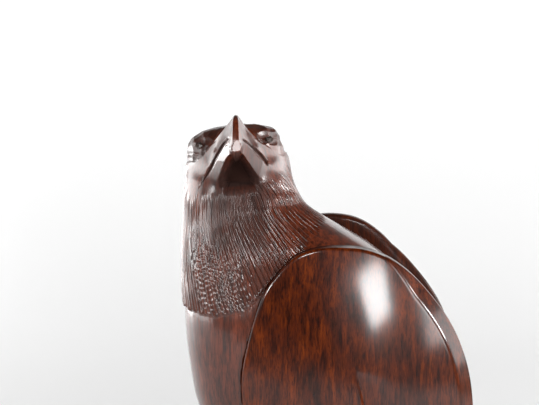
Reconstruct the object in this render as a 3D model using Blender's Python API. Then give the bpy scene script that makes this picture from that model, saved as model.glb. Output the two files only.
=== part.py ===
# Carved ironwood eagle, perched upright on a low stump, head turned to its left.
# Metres, +Z up. The bird's breast faces -Y, its left side +X; the origin is the
# centre of the footprint, on the surface the felt rests on.
import math

import bmesh
import bpy
import numpy as np
from mathutils import Matrix, Vector

MM = 0.001

# ---------------------------------------------------------------- driving sizes
SHIFT_Y = -43.61         # from the carving's own datum (under the neck) to the origin
GAP = 0.3                # clearance between glued or screwed pieces
RINGS, SEGS = 28, 36     # fineness of the body loft

# body: breast edge (Y, Z), back edge (Y, Z), half width in X, sideways centre
BODY = [
    ((70.2, 85.4), (87.8, 98.6), 20.0, 0.0),
    ((44.0, 86.0), (93.0, 117.0), 29.0, 0.0),
    ((16.0, 95.0), (93.5, 136.0), 37.5, 0.0),
    ((-9.0, 110.0), (92.3, 155.0), 43.0, 0.0),
    ((-26.5, 132.0), (88.6, 172.5), 45.5, 0.0),
    ((-36.2, 156.0), (82.2, 190.5), 46.0, 0.0),
    ((-40.3, 178.0), (73.8, 208.0), 45.5, 0.0),
    ((-42.5, 197.0), (63.5, 223.8), 44.0, 0.0),
    ((-43.7, 212.0), (51.8, 234.3), 41.5, 0.0),
    ((-44.0, 226.0), (39.8, 241.8), 38.0, 0.0),
    ((-43.8, 238.0), (28.5, 247.6), 33.5, 0.0),
    ((-43.2, 248.0), (19.5, 254.5), 29.4, 0.4),
    ((-42.7, 257.0), (15.2, 260.8), 26.6, 1.0),
    ((-42.0, 265.0), (12.4, 267.0), 25.4, 2.0),
    ((-41.4, 273.0), (10.3, 274.2), 25.4, 3.0),
    ((-41.1, 281.0), (8.2, 281.4), 25.6, 3.6),
    ((-40.6, 287.5), (7.2, 288.6), 24.4, 3.4),
    ((-36.5, 292.2), (3.6, 293.2), 20.5, 2.4),
    ((-24.0, 294.2), (-10.0, 294.6), 7.5, 1.5),
]
BODY_SQUARE = 2.25       # superellipse power of the sections, breast side
BACK_SQUARE = 2.9        # the same on the back, which is flatter between the wings
NAPE_DROP = 7.0          # the crown falls away towards the nape

# beak: the ridge and the under-edge in the XZ plane, half width, along X
BEAK_Y = -16.6
BEAK = [                 # X, ridge Z, under Z, half width
    (2.0, 291.5, 262.0, 22.6),
    (12.0, 297.4, 266.0, 19.4),
    (22.0, 300.9, 270.5, 14.4),
    (31.0, 302.7, 275.5, 9.6),
    (38.5, 300.9, 279.4, 6.4),
    (43.6, 296.4, 281.4, 4.8),
    (46.4, 291.4, 282.6, 3.6),
]

# wing outline in the YZ plane, from the front shoulder over the top and down
WING = [
    (-13.4, 172.0), (-10.6, 192.0), (-3.6, 215.2), (4.1, 227.0), (11.8, 234.6),
    (19.5, 238.1), (28.0, 239.6), (38.7, 239.6), (46.4, 238.6), (53.7, 236.1),
    (60.6, 232.4), (68.4, 226.2), (76.1, 218.0), (83.9, 208.0), (89.8, 198.0),
    (94.4, 186.0), (97.2, 174.0), (98.8, 158.0), (99.6, 140.0), (101.4, 118.0),
    (104.6, 94.0), (108.4, 72.0), (111.6, 54.0), (108.0, 47.0), (98.0, 53.0),
    (82.0, 66.0), (62.0, 80.0), (40.0, 93.0), (18.0, 108.0), (0.0, 126.0),
    (-10.0, 146.0),
]
WING_RIGHT_RISE = 6.0    # the right shoulder is carried this much higher
WING_CENTRE = (44.0, 158.0)
WING_SEAT = 36.3         # the flat back of the wing panel, |X|
WING_EDGE = 42.0         # |X| of the outer face along the edge
WING_CROWN = 12.5        # rise of the outer face from edge to middle
WING_FOLD = (150.0, 48.0, 13.8)   # from this Z down to this Z the wings close in by this
WING_DOWELS = ((30.0, 186.0), (52.0, 142.0))   # (Y, Z)
DOWEL_R, DOWEL_LEN = 3.0, 15.0

# tail: centre (Y, Z) of each section, half depth, half width
TAIL = [
    (79.0, 92.0, 11.0, 20.0),
    (86.5, 82.0, 9.2, 20.4),
    (96.5, 68.7, 7.0, 20.8),
    (107.5, 54.0, 5.4, 21.3),
    (118.0, 40.0, 4.2, 23.2),
    (126.4, 28.8, 3.0, 24.0),
]
TAIL_AXIS = (0.6, -0.8)
TAIL_DOWEL_R, TAIL_DOWEL_LEN = 4.0, 34.0

# eyes: small glossy beads let into the brows (X, Y, Z), radius
EYE_LEFT = (20.4, -0.2, 289.4)
EYE_RIGHT = (19.6, -34.4, 286.3)
EYE_R = 2.6

# legs
LEG_X, LEG_Y = 16.5, 20.0
LEG_TOP, LEG_SOCKET = 111.0, 111.3
LEG = [                  # Z, centre Y, half width X, half depth Y
    (111.0, 20.0, 11.2, 15.0),
    (101.0, 20.0, 11.2, 15.0),
    (91.0, 19.2, 10.9, 14.0),
    (81.0, 17.2, 9.3, 11.4),
    (73.0, 15.2, 7.2, 8.6),
    (66.0, 14.0, 6.4, 7.4),
    (60.3, 13.6, 6.6, 7.6),
]
TOES = [(-24.0, 25.0), (3.0, 30.0), (32.0, 26.0), (176.0, 19.0)]   # heading, reach
FOOT_Z = 60.3
LEG_DOWEL_R, LEG_DOWEL_LEN = 3.5, 30.0
SCREW_R, SCREW_TOP, SCREW_HEAD_Z = 2.0, 84.0, 14.0

# stump
BASE_CENTRE = (0.0, 20.0)
BASE = [                 # Z, half width X, half depth Y
    (1.8, 46.0, 56.0),
    (5.0, 48.0, 58.5),
    (14.0, 48.5, 59.0),
    (28.0, 45.5, 56.0),
    (42.0, 42.0, 52.5),
    (53.0, 39.5, 49.5),
    (58.4, 36.5, 46.0),
    (60.0, 32.5, 41.5),
]
PAD_Z = (0.0, 1.5)
PAD_HALF = (42.0, 52.0)


# ---------------------------------------------------------------- scene
for old in list(bpy.data.objects):
    bpy.data.objects.remove(old, do_unlink=True)

figure = bpy.data.collections.new("carved_eagle_figurine")
cutters = bpy.data.collections.new("cutters")
bpy.context.scene.collection.children.link(figure)
bpy.context.scene.collection.children.link(cutters)


def material(name, colour, roughness, metallic=0.0):
    mat = bpy.data.materials.new(name)
    mat.use_nodes = True
    bsdf = mat.node_tree.nodes["Principled BSDF"]
    bsdf.inputs["Base Color"].default_value = (*colour, 1.0)
    bsdf.inputs["Roughness"].default_value = roughness
    bsdf.inputs["Metallic"].default_value = metallic
    return mat


IRONWOOD = material("ironwood_polished", (0.095, 0.030, 0.014), 0.22)
IRONWOOD_WING = material("ironwood_figured", (0.150, 0.042, 0.014), 0.18)
STUMP = material("ironwood_dark", (0.050, 0.020, 0.011), 0.40)
DOWEL_WOOD = material("dowel_birch", (0.60, 0.44, 0.26), 0.60)
BEAD = material("eye_bead", (0.010, 0.008, 0.008), 0.08)
STEEL = material("screw_steel", (0.55, 0.54, 0.52), 0.35, 1.0)
FELT = material("felt_brown", (0.075, 0.045, 0.030), 0.95)


def cutter(obj):
    for c in list(obj.users_collection):
        c.objects.unlink(obj)
    cutters.objects.link(obj)
    obj.hide_render = True
    obj.display_type = "WIRE"
    return obj


def put(bm, name, mat=None, smooth=None):
    """Closed bmesh in millimetres -> object in metres, faces pointing out."""
    bmesh.ops.recalc_face_normals(bm, faces=bm.faces)
    mesh = bpy.data.meshes.new(name)
    bm.to_mesh(mesh)
    bm.free()
    mesh.transform(Matrix.Translation((0, SHIFT_Y * MM, 0)) @ Matrix.Scale(MM, 4))
    obj = bpy.data.objects.new(name, mesh)
    figure.objects.link(obj)
    if mat:
        mesh.materials.append(mat)
    if smooth is not None:
        mesh.shade_smooth()
        mesh.set_sharp_from_angle(angle=math.radians(smooth))
    return obj


def boolean(obj, other, operation):
    mod = obj.modifiers.new(operation.lower(), "BOOLEAN")
    mod.operation = operation
    mod.solver = "EXACT"
    mod.object = other
    cutter(other)
    return mod


def apply(obj):
    deps = bpy.context.evaluated_depsgraph_get()
    deps.update()
    mesh = bpy.data.meshes.new_from_object(obj.evaluated_get(deps), depsgraph=deps)
    obj.modifiers.clear()
    obj.data = mesh


# ---------------------------------------------------------------- shape helpers
def catmull(table, t):
    """A smooth curve through the rows of a table, t from 0 to rows - 1."""
    a = np.asarray(table, float)
    n = len(a) - 1
    i = int(min(max(math.floor(t), 0), n - 1))
    u = t - i
    p1, p2 = a[i], a[i + 1]
    p0 = a[i - 1] if i > 0 else 2 * p1 - p2
    p3 = a[i + 2] if i + 2 <= n else 2 * p2 - p1
    return 0.5 * (2 * p1 + (p2 - p0) * u + (2 * p0 - 5 * p1 + 4 * p2 - p3) * u * u
                  + (3 * p1 - p0 - 3 * p2 + p3) * u ** 3)


def superpoint(angle, power):
    c, s = math.cos(angle), math.sin(angle)
    k = 2.0 / power
    return math.copysign(abs(c) ** k, c), math.copysign(abs(s) ** k, s)


def loft(rings, name, mat=None, smooth=40):
    """Skin closed rings of equal count and cap both ends."""
    bm = bmesh.new()
    loops = [[bm.verts.new(p) for p in ring] for ring in rings]
    n = len(loops[0])
    for a, b in zip(loops, loops[1:]):
        for i in range(n):
            j = (i + 1) % n
            bm.faces.new((a[i], a[j], b[j], b[i]))
    for loop, flip in ((loops[0], True), (loops[-1], False)):
        centre = bm.verts.new(sum((v.co for v in loop), Vector()) / n)
        for i in range(n):
            j = (i + 1) % n
            tri = (loop[i], loop[j], centre)
            bm.faces.new(tri[::-1] if flip else tri)
    return put(bm, name, mat, smooth)


def cylinder(name, centre, axis, radius, length, mat=None, segments=16):
    bm = bmesh.new()
    bmesh.ops.create_cone(bm, cap_ends=True, segments=segments, radius1=radius,
                          radius2=radius, depth=length)
    turn = Vector((0, 0, 1)).rotation_difference(Vector(axis).normalized())
    bmesh.ops.transform(bm, matrix=Matrix.Translation(centre) @ turn.to_matrix().to_4x4(),
                        verts=bm.verts)
    return put(bm, name, mat, 40)


def ball(name, centre, radius, mat=None, u=14, v=9, scale=(1, 1, 1)):
    bm = bmesh.new()
    bmesh.ops.create_uvsphere(bm, u_segments=u, v_segments=v, radius=radius)
    bmesh.ops.transform(bm, matrix=Matrix.Translation(centre) @ Matrix.Diagonal((*scale, 1)),
                        verts=bm.verts)
    return put(bm, name, mat, 60)


# ---------------------------------------------------------------- body and head
def body_ring(t, segs):
    rows = [(f[0], f[1], b[0], b[1], w, c) for f, b, w, c in BODY]
    fy, fz, by, bz, w, cx = catmull(rows, t)
    ring = []
    for k in range(segs):
        a = 2 * math.pi * k / segs
        c, s = superpoint(a, BODY_SQUARE if math.cos(a) > 0 else BACK_SQUARE)
        x = cx + w * s
        drop = NAPE_DROP * max(0.0, min(1.0, (t - 13.0) / 4.0)) * (max(0.0, 8.0 - x) / 30.0) ** 2
        ring.append(Vector((x, (fy + by) / 2 - c * (by - fy) / 2,
                            (fz + bz) / 2 - c * (bz - fz) / 2 - drop)))
    return ring


last = len(BODY) - 1
body = loft([body_ring(last * i / (RINGS - 1), SEGS) for i in range(RINGS)],
            "carved_body", IRONWOOD)


def beak_ring(t, segs):
    x, top, low, w = catmull(BEAK, t)
    ring = []
    for k in range(segs):
        a = 2 * math.pi * k / segs
        c, s = superpoint(a, 1.65)
        drop = 0.5 - 0.5 * c                 # 0 at the ridge, 1 underneath
        ring.append(Vector((x + 2.0 * drop * (t / 6.0), BEAK_Y + w * s,
                            top + (low - top) * drop)))
    return ring


beak = loft([beak_ring(6 * i / 12, 20) for i in range(13)], "beak_form")
boolean(body, beak, "UNION")

for side in (1, -1):
    ey = EYE_LEFT if side == 1 else EYE_RIGHT
    socket = ball("eye_socket_%s" % ("left" if side == 1 else "right"), ey, EYE_R + GAP)
    boolean(body, socket, "DIFFERENCE")


# ---------------------------------------------------------------- wings
def wing_outline(side, grow=0.0, count=40):
    pts = []
    n = len(WING)
    for i in range(count):
        t = n * i / count
        y, z = catmull([WING[(j) % n] for j in range(-2, n + 3)], t + 2)
        if side < 0:
            lift = max(0.0, 1 - ((y - 30.0) / 34.0) ** 2) if z > 200 else 0.0
            z += WING_RIGHT_RISE * lift
        d = Vector((y - WING_CENTRE[0], z - WING_CENTRE[1]))
        d *= 1 + grow / d.length
        pts.append((WING_CENTRE[0] + d.x, WING_CENTRE[1] + d.y))
    return pts


def wing_fold(z):
    u = max(0.0, min(1.0, (WING_FOLD[0] - z) / (WING_FOLD[0] - WING_FOLD[1])))
    return WING_FOLD[2] * u * u * (3 - 2 * u)


def wing_ring(side, outline, scale, x):
    ring = []
    for y, z in outline:
        yy = WING_CENTRE[0] + scale * (y - WING_CENTRE[0])
        zz = WING_CENTRE[1] + scale * (z - WING_CENTRE[1])
        ring.append(Vector((side * (x - wing_fold(zz)), yy, zz)))
    return ring


def wing_panel(side, name):
    """A flat back, a thin square edge and a domed outer face."""
    outline = wing_outline(side)
    rings = [wing_ring(side, outline, r, WING_SEAT) for r in (0.3, 0.6, 0.8, 1.0)]
    for r in (1.0, 0.97, 0.91, 0.80, 0.62, 0.40, 0.18):
        rise = WING_CROWN * (1 - r ** 2.4) ** (1 / 1.7)
        rings.append(wing_ring(side, outline, r, WING_EDGE + rise))
    return loft(rings, name, IRONWOOD_WING, 50)


def wing_seat(side, name):
    outline = wing_outline(side, grow=GAP + 0.1)
    rings = [wing_ring(side, outline, r, WING_SEAT - GAP) for r in (0.3, 0.6, 0.8, 1.0)]
    rings.append([Vector((side * 75.0, y, z)) for y, z in outline])
    return loft(rings, name)


dowel_specs = []
for side, label in ((1, "left"), (-1, "right")):
    boolean(body, wing_seat(side, "wing_seat_" + label), "DIFFERENCE")
    wing = wing_panel(side, label + "_wing")
    for (dy, dz), place in zip(WING_DOWELS, ("upper", "lower")):
        centre = (side * (WING_SEAT - 2.2), dy, dz)
        name = "%s_wing_dowel_%s" % (label, place)
        for target, tag in ((body, "body"), (wing, "wing")):
            boolean(target, cylinder(name + "_hole_" + tag, centre, (1, 0, 0),
                                     DOWEL_R + GAP, DOWEL_LEN + 2 * GAP), "DIFFERENCE")
        cylinder(name, centre, (1, 0, 0), DOWEL_R, DOWEL_LEN, DOWEL_WOOD)
    apply(wing)


# ---------------------------------------------------------------- tail
def tail_ring(t, segs, start=0.0):
    y, z, depth, w = catmull(TAIL, t)
    y += TAIL_AXIS[0] * start
    z += TAIL_AXIS[1] * start
    ring = []
    for k in range(segs):
        c, s = superpoint(2 * math.pi * k / segs, 2.25)
        camber = 3.0 * (1 - s * s) * (t / 5.0)
        ring.append(Vector((w * s, y - 0.8 * c * depth + 0.8 * camber,
                            z - 0.6 * c * depth + 0.6 * camber)))
    return ring


tail = loft([tail_ring(5 * i / 8, 28, GAP if i == 0 else 0.0) for i in range(9)],
            "tail", IRONWOOD)
for target, tag in ((body, "body"), (tail, "tail")):
    boolean(target, cylinder("tail_dowel_hole_" + tag, (0.0, 79.0, 92.0),
                             (0, TAIL_AXIS[0], TAIL_AXIS[1]), TAIL_DOWEL_R + GAP,
                             TAIL_DOWEL_LEN + 2 * GAP), "DIFFERENCE")
cylinder("tail_dowel", (0.0, 79.0, 92.0), (0, TAIL_AXIS[0], TAIL_AXIS[1]), TAIL_DOWEL_R,
         TAIL_DOWEL_LEN, DOWEL_WOOD)
apply(tail)

# ---------------------------------------------------------------- eyes
ball("left_eye", EYE_LEFT, EYE_R, BEAD)
ball("right_eye", EYE_RIGHT, EYE_R, BEAD)


# ---------------------------------------------------------------- legs
def leg_ring(t, side, segs):
    z, cy, hx, hy = catmull(LEG, t)
    return [Vector((side * LEG_X + hx * math.sin(2 * math.pi * k / segs),
                    cy - hy * math.cos(2 * math.pi * k / segs), z)) for k in range(segs)]


def toe(side, heading, reach, name):
    """A knuckled toe with a hooked claw, its underside level with the sole."""
    a = math.radians(heading * side)
    way = Vector((math.sin(a), -math.cos(a), 0.0))
    root = Vector((side * LEG_X, LEG[-1][1], 0.0))
    rings = []
    for i in range(8):
        u = i / 7
        r = 4.3 - 1.3 * u + 0.5 * math.sin(3 * math.pi * u) if u < 0.72 else 3.3 * (1 - u) / 0.28 * 0.8 + 0.5
        centre = root + way * (2.0 + (reach - 2.0) * u)
        across = Vector((way.y, -way.x, 0.0))
        height = 1.15 if u < 0.72 else 0.95
        mid = FOOT_Z + r * height
        if u > 0.72:
            mid = FOOT_Z + max(r * height, 0.4 + 2.6 * (1 - u) / 0.28)
        rings.append([centre + across * (r * math.sin(2 * math.pi * k / 8))
                      + Vector((0, 0, mid + r * height * math.cos(2 * math.pi * k / 8)))
                      for k in range(8)])
    return loft(rings, name)


for side, label in ((1, "left"), (-1, "right")):
    leg = loft([leg_ring(6 * i / 8, side, 20) for i in range(9)], label + "_leg", IRONWOOD)
    for k, (heading, reach) in enumerate(TOES):
        boolean(leg, toe(side, heading, reach, "%s_toe_%d" % (label, k)), "UNION")
    top = (side * LEG_X, LEG_Y, LEG_TOP)
    socket = [[Vector((side * LEG_X + 11.6 * math.sin(2 * math.pi * k / 28),
                       LEG_Y - 15.4 * math.cos(2 * math.pi * k / 28), z)) for k in range(28)]
              for z in (LEG_SOCKET, 60.0)]
    boolean(body, loft(socket, label + "_leg_socket"), "DIFFERENCE")
    for target, tag in ((body, "body"), (leg, "leg")):
        boolean(target, cylinder("%s_leg_dowel_hole_%s" % (label, tag), top, (0, 0, 1),
                                 LEG_DOWEL_R + GAP, LEG_DOWEL_LEN + 2 * GAP), "DIFFERENCE")
    cylinder(label + "_leg_dowel", top, (0, 0, 1), LEG_DOWEL_R, LEG_DOWEL_LEN, DOWEL_WOOD)
    screw_at = (side * LEG_X, LEG[-1][1] + 0.8)
    boolean(leg, cylinder(label + "_leg_screw_hole", (*screw_at, 60.0 + (SCREW_TOP + 1 - 60) / 2 - 1),
                          (0, 0, 1), SCREW_R + GAP, SCREW_TOP - 60 + 3.0), "DIFFERENCE")
    profile = [(0.0, SCREW_TOP), (SCREW_R * 0.5, SCREW_TOP - 2.5), (SCREW_R, SCREW_TOP - 6),
               (SCREW_R, SCREW_HEAD_Z + 3.0), (4.0, SCREW_HEAD_Z + 0.6), (4.0, SCREW_HEAD_Z),
               (0.0, SCREW_HEAD_Z)]
    bm = bmesh.new()
    rows = [[bm.verts.new((screw_at[0] + r * math.cos(a), screw_at[1] + r * math.sin(a), z))
             for a in (2 * math.pi * k / 16 for k in range(16))] for r, z in profile[1:-1]]
    tip = bm.verts.new((*screw_at, SCREW_TOP))
    foot = bm.verts.new((*screw_at, SCREW_HEAD_Z))
    for a, b in zip(rows, rows[1:]):
        for k in range(16):
            bm.faces.new((a[k], a[(k + 1) % 16], b[(k + 1) % 16], b[k]))
    for k in range(16):
        bm.faces.new((tip, rows[0][(k + 1) % 16], rows[0][k]))
        bm.faces.new((foot, rows[-1][k], rows[-1][(k + 1) % 16]))
    put(bm, label + "_leg_screw", STEEL, 30)
    apply(leg)


# ---------------------------------------------------------------- stump and felt
def base_ring(t, segs):
    z, hx, hy = catmull(BASE, t)
    ring = []
    for k in range(segs):
        a = 2 * math.pi * k / segs
        c, s = superpoint(a, 2.4)
        fade = max(0.0, min(1.0, (58.0 - z) / 30.0))
        lump = 1 + fade * (0.022 * math.sin(5 * a + 0.06 * z) + 0.016 * math.sin(9 * a - 0.09 * z + 1.3))
        ring.append(Vector((BASE_CENTRE[0] + hx * s * lump, BASE_CENTRE[1] - hy * c * lump, z)))
    return ring


base = loft([base_ring(7 * i / 10, 32) for i in range(11)], "stump_base", STUMP)
for side, label in ((1, "left"), (-1, "right")):
    x, y = side * LEG_X, LEG[-1][1] + 0.8
    boolean(base, cylinder(label + "_screw_clearance", (x, y, 38.0), (0, 0, 1),
                           SCREW_R + GAP, 60.0), "DIFFERENCE")
    boolean(base, cylinder(label + "_screw_counterbore", (x, y, 8.8), (0, 0, 1),
                           5.0, 17.6), "DIFFERENCE")
apply(base)

bm = bmesh.new()
bmesh.ops.create_cone(bm, cap_ends=True, segments=40, radius1=1.0, radius2=1.0,
                      depth=PAD_Z[1] - PAD_Z[0])
bmesh.ops.transform(bm, matrix=Matrix.Translation((BASE_CENTRE[0], BASE_CENTRE[1],
                                                   (PAD_Z[0] + PAD_Z[1]) / 2))
                    @ Matrix.Diagonal((PAD_HALF[0], PAD_HALF[1], 1, 1)), verts=bm.verts)
put(bm, "felt_pad", FELT, 30)

apply(body)
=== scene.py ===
import math

import bpy
import numpy as np
from mathutils import Matrix, Quaternion, Vector


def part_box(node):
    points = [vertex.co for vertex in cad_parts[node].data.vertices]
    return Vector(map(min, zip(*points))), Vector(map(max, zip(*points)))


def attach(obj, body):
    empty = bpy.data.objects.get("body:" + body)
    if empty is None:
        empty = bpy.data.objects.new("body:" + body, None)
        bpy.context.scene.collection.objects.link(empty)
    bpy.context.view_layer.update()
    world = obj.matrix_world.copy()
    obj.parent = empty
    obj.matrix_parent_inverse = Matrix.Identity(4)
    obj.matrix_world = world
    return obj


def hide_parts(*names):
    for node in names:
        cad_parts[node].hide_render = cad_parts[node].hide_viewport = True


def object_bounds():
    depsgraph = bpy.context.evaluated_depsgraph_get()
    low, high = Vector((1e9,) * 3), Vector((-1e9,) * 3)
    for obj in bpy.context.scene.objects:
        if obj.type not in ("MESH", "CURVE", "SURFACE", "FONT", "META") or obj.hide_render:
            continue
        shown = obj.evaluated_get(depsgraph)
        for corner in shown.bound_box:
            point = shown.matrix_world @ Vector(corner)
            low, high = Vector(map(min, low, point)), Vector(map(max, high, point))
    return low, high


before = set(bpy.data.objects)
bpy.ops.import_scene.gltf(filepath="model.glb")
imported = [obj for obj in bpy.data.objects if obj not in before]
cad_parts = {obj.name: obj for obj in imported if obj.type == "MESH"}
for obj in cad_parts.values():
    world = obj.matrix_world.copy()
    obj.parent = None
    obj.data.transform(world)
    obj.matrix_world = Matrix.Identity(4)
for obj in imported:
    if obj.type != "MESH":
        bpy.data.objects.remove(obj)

cad_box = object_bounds()
cad_box = [list(cad_box[0]), list(cad_box[1])]
pad_lo, pad_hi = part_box("felt_pad")
SHIFT = (pad_lo.y + pad_hi.y) / 2 * 1000 - 20.0
rng = np.random.default_rng(7)


# ------------------------------------------------------------------ numeric helpers
def sstep(a, b, x):
    t = np.clip((np.asarray(x, float) - a) / (b - a), 0, 1)
    return t * t * (3 - 2 * t)


def curve(x, xs, ys):
    """Smooth curve through (xs, ys) at x."""
    xs, ys = np.asarray(xs, float), np.asarray(ys, float)
    m = np.gradient(ys, xs)
    x = np.clip(np.asarray(x, float), xs[0], xs[-1])
    i = np.clip(np.searchsorted(xs, x, side="right") - 1, 0, len(xs) - 2)
    h = xs[i + 1] - xs[i]
    t = (x - xs[i]) / h
    return ((2 * t ** 3 - 3 * t ** 2 + 1) * ys[i] + (t ** 3 - 2 * t ** 2 + t) * h * m[i]
            + (3 * t ** 2 - 2 * t ** 3) * ys[i + 1] + (t ** 3 - t ** 2) * h * m[i + 1])


def catmull(table, t, closed=False):
    a = np.asarray(table, float)
    n = len(a) if closed else len(a) - 1
    t = np.asarray(t, float)
    t = np.mod(t, n) if closed else np.clip(t, 0, n)
    i = np.minimum(t.astype(int), n - 1)
    u = (t - i)[..., None]
    if closed:
        p0, p1, p2, p3 = (a[(i + k) % n] for k in (-1, 0, 1, 2))
    else:
        p1, p2 = a[i], a[i + 1]
        p0 = np.where((i > 0)[..., None], a[np.maximum(i - 1, 0)], 2 * p1 - p2)
        p3 = np.where((i + 2 <= n)[..., None], a[np.minimum(i + 2, n)], 2 * p2 - p1)
    return 0.5 * (2 * p1 + (p2 - p0) * u + (2 * p0 - 5 * p1 + 4 * p2 - p3) * u * u
                  + (3 * p1 - p0 - 3 * p2 + p3) * u ** 3)


def smin(a, b, k):
    h = np.clip(0.5 + 0.5 * (b - a) / k, 0, 1)
    return b * (1 - h) + a * h - k * h * (1 - h)


def smax(a, b, k):
    return -smin(-a, -b, k)


def hash2(i, j, seed=0):
    x = (np.asarray(i, np.int64) * 374761393 + np.asarray(j, np.int64) * 668265263 + seed * 1442695041) & 0xFFFFFFFF
    x = ((x ^ (x >> 13)) * 1274126177) & 0xFFFFFFFF
    x = (x ^ (x >> 16)) & 0xFFFFFFFF
    return x / 4294967295.0


def noise2(x, y, seed=0):
    xi, yi = np.floor(x).astype(int), np.floor(y).astype(int)
    fx, fy = x - xi, y - yi
    fx, fy = fx * fx * (3 - 2 * fx), fy * fy * (3 - 2 * fy)
    a, b = hash2(xi, yi, seed), hash2(xi + 1, yi, seed)
    c, d = hash2(xi, yi + 1, seed), hash2(xi + 1, yi + 1, seed)
    return (a * (1 - fx) + b * fx) * (1 - fy) + (c * (1 - fx) + d * fx) * fy - 0.5


def seg_dist(p, a, b):
    """Distance from points p (N,3) to the segment ab, and the fraction along it."""
    a, b = np.asarray(a, float), np.asarray(b, float)
    d = b - a
    t = np.clip(((p - a) @ d) / (d @ d), 0, 1)
    return np.linalg.norm(p - a - t[:, None] * d, axis=1), t


# ------------------------------------------------------------------ mesh helpers
def add_mesh(name, verts, faces, smooth=True, body="root", painted_shade_and_grain=None):
    mesh = bpy.data.meshes.new(name)
    v = np.array(verts, float)
    v[:, 1] += SHIFT
    v *= 0.001
    mesh.from_pydata(v.tolist(), [], faces)
    mesh.validate()
    if smooth:
        mesh.shade_smooth()
    obj = bpy.data.objects.new(name, mesh)
    bpy.context.scene.collection.objects.link(obj)
    # painted shade of hollows, grooves and overlaps (and the stump's growth rings and gouge rims) goes into the
    # 'cavity' attribute
    if painted_shade_and_grain is not None and len(mesh.vertices) == len(painted_shade_and_grain):
        at = mesh.attributes.new("cavity", "FLOAT", "POINT")
        at.data.foreach_set("value", np.asarray(painted_shade_and_grain, np.float32))
    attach(obj, body)
    return obj


def grid_faces(rows, cols, offset=0, flip=False):
    """Quads of rows x cols points that close round the columns."""
    j, k = np.meshgrid(np.arange(rows - 1), np.arange(cols), indexing="ij")
    a = j * cols + k
    b = j * cols + (k + 1) % cols
    c = (j + 1) * cols + (k + 1) % cols
    d = (j + 1) * cols + k
    q = np.stack([a, d, c, b] if flip else [a, b, c, d], -1).reshape(-1, 4) + offset
    return q.tolist()


def row_normals(P, closed=True):
    """Unit normals of a rows x cols x 3 grid that closes round the columns."""
    du = np.roll(P, -1, 1) - np.roll(P, 1, 1)
    dv = np.empty_like(P)
    dv[1:-1] = P[2:] - P[:-2]
    dv[0], dv[-1] = P[1] - P[0], P[-1] - P[-2]
    n = np.cross(du, dv)
    return n / np.maximum(np.linalg.norm(n, axis=-1, keepdims=True), 1e-9)


# ------------------------------------------------------------------ wing outline
WING = [
    (-13.4, 172.0), (-10.6, 192.0), (-3.6, 215.2), (4.1, 227.0), (11.8, 234.6),
    (19.5, 238.1), (28.0, 239.6), (38.7, 239.6), (46.4, 238.6), (53.7, 236.1),
    (60.6, 232.4), (68.4, 226.2), (76.1, 218.0), (83.9, 208.0), (89.8, 198.0),
    (94.4, 186.0), (97.2, 174.0), (98.8, 158.0), (99.6, 140.0), (101.4, 118.0),
    (104.6, 94.0), (108.4, 72.0), (111.6, 54.0), (108.0, 47.0), (98.0, 53.0),
    (82.0, 66.0), (62.0, 80.0), (40.0, 93.0), (18.0, 108.0), (0.0, 126.0),
    (-10.0, 146.0),
]
WC = np.array((44.0, 158.0))
SEAT = 36.3


def wing_fold(z):
    return 13.8 * sstep(0, 1, (150.0 - z) / 102.0)


def wing_outline(side, count):
    pts = catmull(WING, np.arange(count) * len(WING) / count, closed=True)
    if side < 0:
        lift = np.where(pts[:, 1] > 200, np.clip(1 - ((pts[:, 0] - 30.0) / 34.0) ** 2, 0, None), 0)
        pts[:, 1] += 6.0 * lift
    return pts


def in_wing(y, z, side, grow):
    o = wing_outline(side, 720) - WC
    ang = np.arctan2(o[:, 1], o[:, 0])
    rad = np.hypot(o[:, 0], o[:, 1])
    order = np.argsort(ang)
    ang, rad = ang[order], rad[order]
    a = np.arctan2(z - WC[1], y - WC[0])
    r = np.hypot(y - WC[0], z - WC[1])
    return r < np.interp(a, np.r_[ang[-1] - 2 * np.pi, ang, ang[0] + 2 * np.pi],
                         np.r_[rad[-1], rad, rad[0]]) + grow


# ------------------------------------------------------------------ body: torso and neck sections
SECTIONS = [   # breast (Y, Z), back (Y, Z), half width, sideways centre, back squareness
    (-42.4, 262.0, 13.9, 262.6, 25.3, 1.3, 2.25),
    (-42.8, 255.0, 17.4, 256.8, 26.9, 0.9, 2.25),
    (-43.2, 247.0, 21.6, 253.0, 29.6, 0.5, 2.3),
    (-43.8, 238.0, 29.0, 248.2, 33.5, 0.0, 2.4),
    (-44.0, 226.0, 39.8, 241.8, 38.0, 0.0, 2.6),
    (-43.7, 212.0, 51.8, 234.3, 41.5, 0.0, 2.8),
    (-42.5, 197.0, 63.5, 223.8, 44.0, 0.0, 2.9),
    (-40.3, 178.0, 73.8, 208.0, 45.5, 0.0, 2.9),
    (-36.2, 156.0, 82.2, 190.5, 46.0, 0.0, 2.9),
    (-26.5, 132.0, 88.6, 172.5, 45.5, 0.0, 2.9),
    (-9.0, 110.0, 92.3, 155.0, 43.0, 0.0, 2.9),
    (16.0, 95.0, 93.5, 136.0, 37.5, 0.0, 2.9),
    (44.0, 86.0, 93.0, 117.0, 29.0, 0.0, 2.9),
    (70.2, 85.4, 87.8, 98.6, 20.0, 0.0, 2.9),
]
STROKES = 140                 # carved strokes round the neck
COLS = STROKES * 4


def column_angles():
    """Angle of each column, 0 at the breast, 90 at the bird's left; a little denser on the face."""
    k = np.arange(COLS) / COLS * 2 * np.pi
    return k + 0.16 * np.sin(2 * (k - math.pi / 2) + math.pi) * 0.5 - 0.22 * np.sin(k - math.pi / 2)


THETA = column_angles()


def section_rows(ts):
    s = catmull(SECTIONS, ts)
    fy, fz, by, bz, w, cx, n2 = (s[:, i][:, None] for i in range(7))
    ct, st = np.cos(THETA)[None, :], np.sin(THETA)[None, :]
    a = np.hypot(by - fy, bz - fz) / 2
    n = np.where(ct > 0, 2.25, n2)
    r = (np.abs(ct / a) ** n + np.abs(st / w) ** n) ** (-1 / n)
    uy, uz = (fy - by) / (2 * a), (fz - bz) / (2 * a)
    return np.stack([cx + r * st, (fy + by) / 2 + uy * r * ct, (fz + bz) / 2 + uz * r * ct], -1)


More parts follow.
